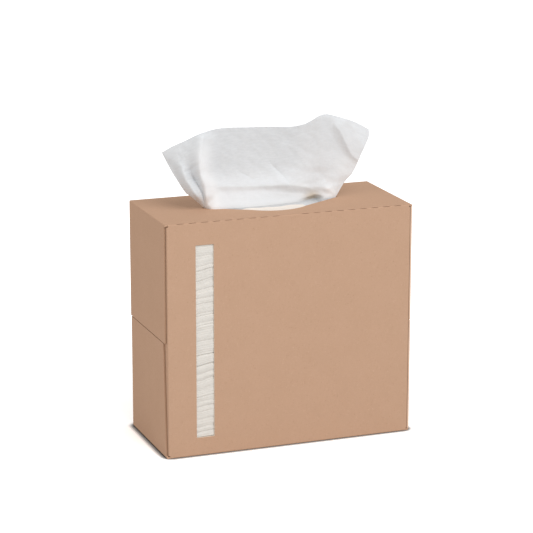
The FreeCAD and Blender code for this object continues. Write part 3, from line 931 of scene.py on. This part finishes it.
# Torn nibs along the opening
NIB_SPACING = 2.6 * MM
NIB_LENGTH = 0.55 * MM
NIB_WIDTH = 0.5 * MM
NIB_HEIGHT = 1.1 * MM
# Least and most of a nib's size across, along and up, as shares
NIB_LEAST = (0.5, 0.3, 0.5)
NIB_MOST = (1.3, 1.5, 1.2)


def opening_outline():
    """Points round the opening, from its left end along the front and back again, in metres."""
    reach = math.hypot(OPENING_HALF, NOSE_CENTRE)
    turn = math.acos(NOSE_RADIUS / reach) + math.atan2(NOSE_CENTRE, OPENING_HALF)
    arc = [
        (NOSE_RADIUS * math.cos(a), NOSE_CENTRE + NOSE_RADIUS * math.sin(a))
        for a in np.linspace(math.pi - turn, turn, 24)
    ]
    half = [(-OPENING_HALF, 0.0)] + arc
    front = [(x, -y) for x, y in half]
    return front + [(-x, y) for x, y in half]


def nib_tree():
    """Geometry tree that sets small torn nibs along the opening's edge."""
    tree = bpy.data.node_groups.new("torn_nibs", "GeometryNodeTree")
    tree.interface.new_socket("Edge", in_out="INPUT", socket_type="NodeSocketGeometry")
    for label, value in (("Spacing", NIB_SPACING), ("Nib Length", NIB_LENGTH), ("Nib Width", NIB_WIDTH)):
        socket = tree.interface.new_socket(label, in_out="INPUT", socket_type="NodeSocketFloat")
        socket.default_value = value
    tree.interface.new_socket("Material", in_out="INPUT", socket_type="NodeSocketMaterial")
    tree.interface.new_socket("Nibs", in_out="OUTPUT", socket_type="NodeSocketGeometry")
    at = Shader(tree)
    given = at.node("NodeGroupInput").outputs
    curve = at.node("GeometryNodeMeshToCurve", {"Mesh": given["Edge"]}).outputs[0]
    steps = {"Curve": curve, "Length": given["Spacing"]}
    spots = at.node("GeometryNodeResampleCurve", steps, mode="LENGTH").outputs[0]
    measures = {"X": given["Nib Width"], "Y": given["Nib Length"], "Z": NIB_HEIGHT}
    size = at.node("ShaderNodeCombineXYZ", measures)
    nib = at.node("GeometryNodeMeshIcoSphere", {"Radius": 0.5, "Subdivisions": 2}).outputs["Mesh"]
    nib = at.node("GeometryNodeTransform", {"Geometry": nib, "Scale": size.outputs[0]}).outputs[0]
    tangent = at.node("GeometryNodeInputTangent").outputs[0]
    turn = at.node("FunctionNodeAlignRotationToVector", {"Vector": tangent}, axis="X").outputs[0]
    limits = {"Min": NIB_LEAST, "Max": NIB_MOST, "Seed": 5}
    grow = at.node("FunctionNodeRandomValue", limits, data_type="FLOAT_VECTOR").outputs[0]
    places = {"Points": spots, "Instance": nib, "Rotation": turn, "Scale": grow}
    placed = at.node("GeometryNodeInstanceOnPoints", places).outputs[0]
    real = at.node("GeometryNodeRealizeInstances", {"Geometry": placed}).outputs[0]
    dressed = {"Geometry": real, "Material": given["Material"]}
    done = at.node("GeometryNodeSetMaterial", dressed).outputs[0]
    at.feed(at.node("NodeGroupOutput").inputs["Nibs"], done)
    return tree


def make_torn_nibs():
    """Small fibrous nibs where the opening's perforation was torn out."""
    outline = opening_outline()
    mesh = bpy.data.meshes.new("torn_nibs")
    count = len(outline)
    points = [(x, y, HEIGHT - BOARD / 2) for x, y in outline]
    mesh.from_pydata(points, [(i, (i + 1) % count) for i in range(count)], [])
    piece = bpy.data.objects.new("torn_nibs", mesh)
    bpy.context.scene.collection.objects.link(piece)
    tree = nib_tree()
    maker = piece.modifiers.new("nibs", "NODES")
    maker.node_group = tree
    sockets = {s.name: s.identifier for s in tree.interface.items_tree if s.in_out == "INPUT"}
    maker[sockets["Material"]] = kraft
    apply_modifiers(piece)
    piece.data.polygons.foreach_set("use_smooth", [True] * len(piece.data.polygons))
    return finish_piece(piece, "board")


# Room, light and camera

# Floor: half its size in metres, its grey, what the camera sees on top of it, and how far from the carton
# and how strongly it darkens
FLOOR_HALF = 6.0
FLOOR_GREY = 0.82
FLOOR_LIFT = 0.95
CONTACT_SHADE = 7 * MM
CONTACT_POWER = 3.8
# Light from all round, as the share of what the camera sees
WORLD_LIGHT = 0.57
# Lamps: name, place, size in metres, power and colour; and the height at which they aim
LAMPS = (
    ("key_lamp", (1.15, -2.45, 2.85), 3.0, 74.5, (1, 1, 1)),
    ("side_lamp", (-2.4, -1.0, 1.7), 1.8, 15, (1.0, 0.94, 0.88)),
)
LAMP_AIM = 0.14


def make_floor():
    """Plain white floor that runs out of sight; the camera sees it brighter, with the object's shadow."""
    half = FLOOR_HALF
    corners = [(-half, -half, 0), (half, -half, 0), (half, half, 0), (-half, half, 0)]
    material = bpy.data.materials.new("white_floor")
    material.use_nodes = True
    material.node_tree.nodes.clear()
    at = Shader(material.node_tree)
    plain = at.node("ShaderNodeBsdfDiffuse", {"Color": grey(FLOOR_GREY)}).outputs[0]
    occlusion = at.node("ShaderNodeAmbientOcclusion", {"Distance": CONTACT_SHADE}, samples=16)
    contact = at.math("POWER", occlusion.outputs["AO"], CONTACT_POWER)
    layers = {}
    for place, share in enumerate((FLOOR_GREY, FLOOR_LIFT)):
        colour = at.mix(contact, grey(0), grey(share))
        layers[place] = at.node("ShaderNodeBsdfDiffuse", {"Color": colour}).outputs[0]
    bright = at.node("ShaderNodeAddShader", layers).outputs[0]
    seen = at.node("ShaderNodeLightPath").outputs["Is Camera Ray"]
    chosen = at.node("ShaderNodeMixShader", {"Fac": seen, 1: plain, 2: bright}).outputs[0]
    at.node("ShaderNodeOutputMaterial", {"Surface": chosen})
    floor = mesh_object("floor", corners, [(0, 1, 2, 3)], material, smooth=False)
    floor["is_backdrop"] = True


def make_world():
    """Even studio light from all round; the camera sees plain white."""
    world = bpy.data.worlds.new("studio")
    bpy.context.scene.world = world
    world.use_nodes = True
    world.node_tree.nodes.clear()
    at = Shader(world.node_tree)
    path = at.node("ShaderNodeLightPath").outputs
    seen = at.largest(path["Is Camera Ray"], path["Is Glossy Ray"], path["Is Transmission Ray"])
    shares = {"Value": seen, "To Min": WORLD_LIGHT, "To Max": 1.0}
    strength = at.node("ShaderNodeMapRange", shares).outputs["Result"]
    light = at.node("ShaderNodeBackground", {"Color": grey(1), "Strength": strength}).outputs[0]
    at.node("ShaderNodeOutputWorld", {"Surface": light})


def add_lamp(name, place, size, power, colour):
    """Large soft square lamp aimed at the carton."""
    lamp = bpy.data.lights.new(name, "AREA")
    lamp.size = size
    lamp.energy = power
    lamp.color = colour
    holder = bpy.data.objects.new(name, lamp)
    holder.location = place
    aim = Vector((0, 0, LAMP_AIM)) - Vector(place)
    holder.rotation_euler = aim.to_track_quat("-Z", "Y").to_euler()
    bpy.context.scene.collection.objects.link(holder)


def make_camera():
    """Camera with the photo's place, turn and lens."""
    right, up, back = camera_axes()
    roll = math.radians(CAMERA_ROLL)
    rolled_right = right * math.cos(roll) + up * math.sin(roll)
    rolled_up = up * math.cos(roll) - right * math.sin(roll)
    place = right * CAMERA_AIM[0] + Vector((0, 0, CAMERA_AIM[1])) + back * CAMERA_DISTANCE
    lens = bpy.data.cameras.new("photo_camera")
    lens.lens = CAMERA_LENS
    lens.sensor_width = CAMERA_SENSOR
    lens.clip_start, lens.clip_end = 0.05, 50
    holder = bpy.data.objects.new("photo_camera", lens)
    turned = Matrix((rolled_right, rolled_up, back)).transposed().to_4x4()
    holder.matrix_world = Matrix.Translation(place) @ turned
    bpy.context.scene.collection.objects.link(holder)
    bpy.context.scene.camera = holder


dress_nodes()
make_wipe_stack()
make_next_wipe()
make_top_wipe()
make_torn_nibs()
make_floor()
make_world()
for lamp in LAMPS:
    add_lamp(*lamp)
make_camera()
bpy.context.scene.view_settings.view_transform = "Standard"

shown_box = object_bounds()
{"cad": [list(corner) for corner in cad_box], "shown": [list(corner) for corner in shown_box]}
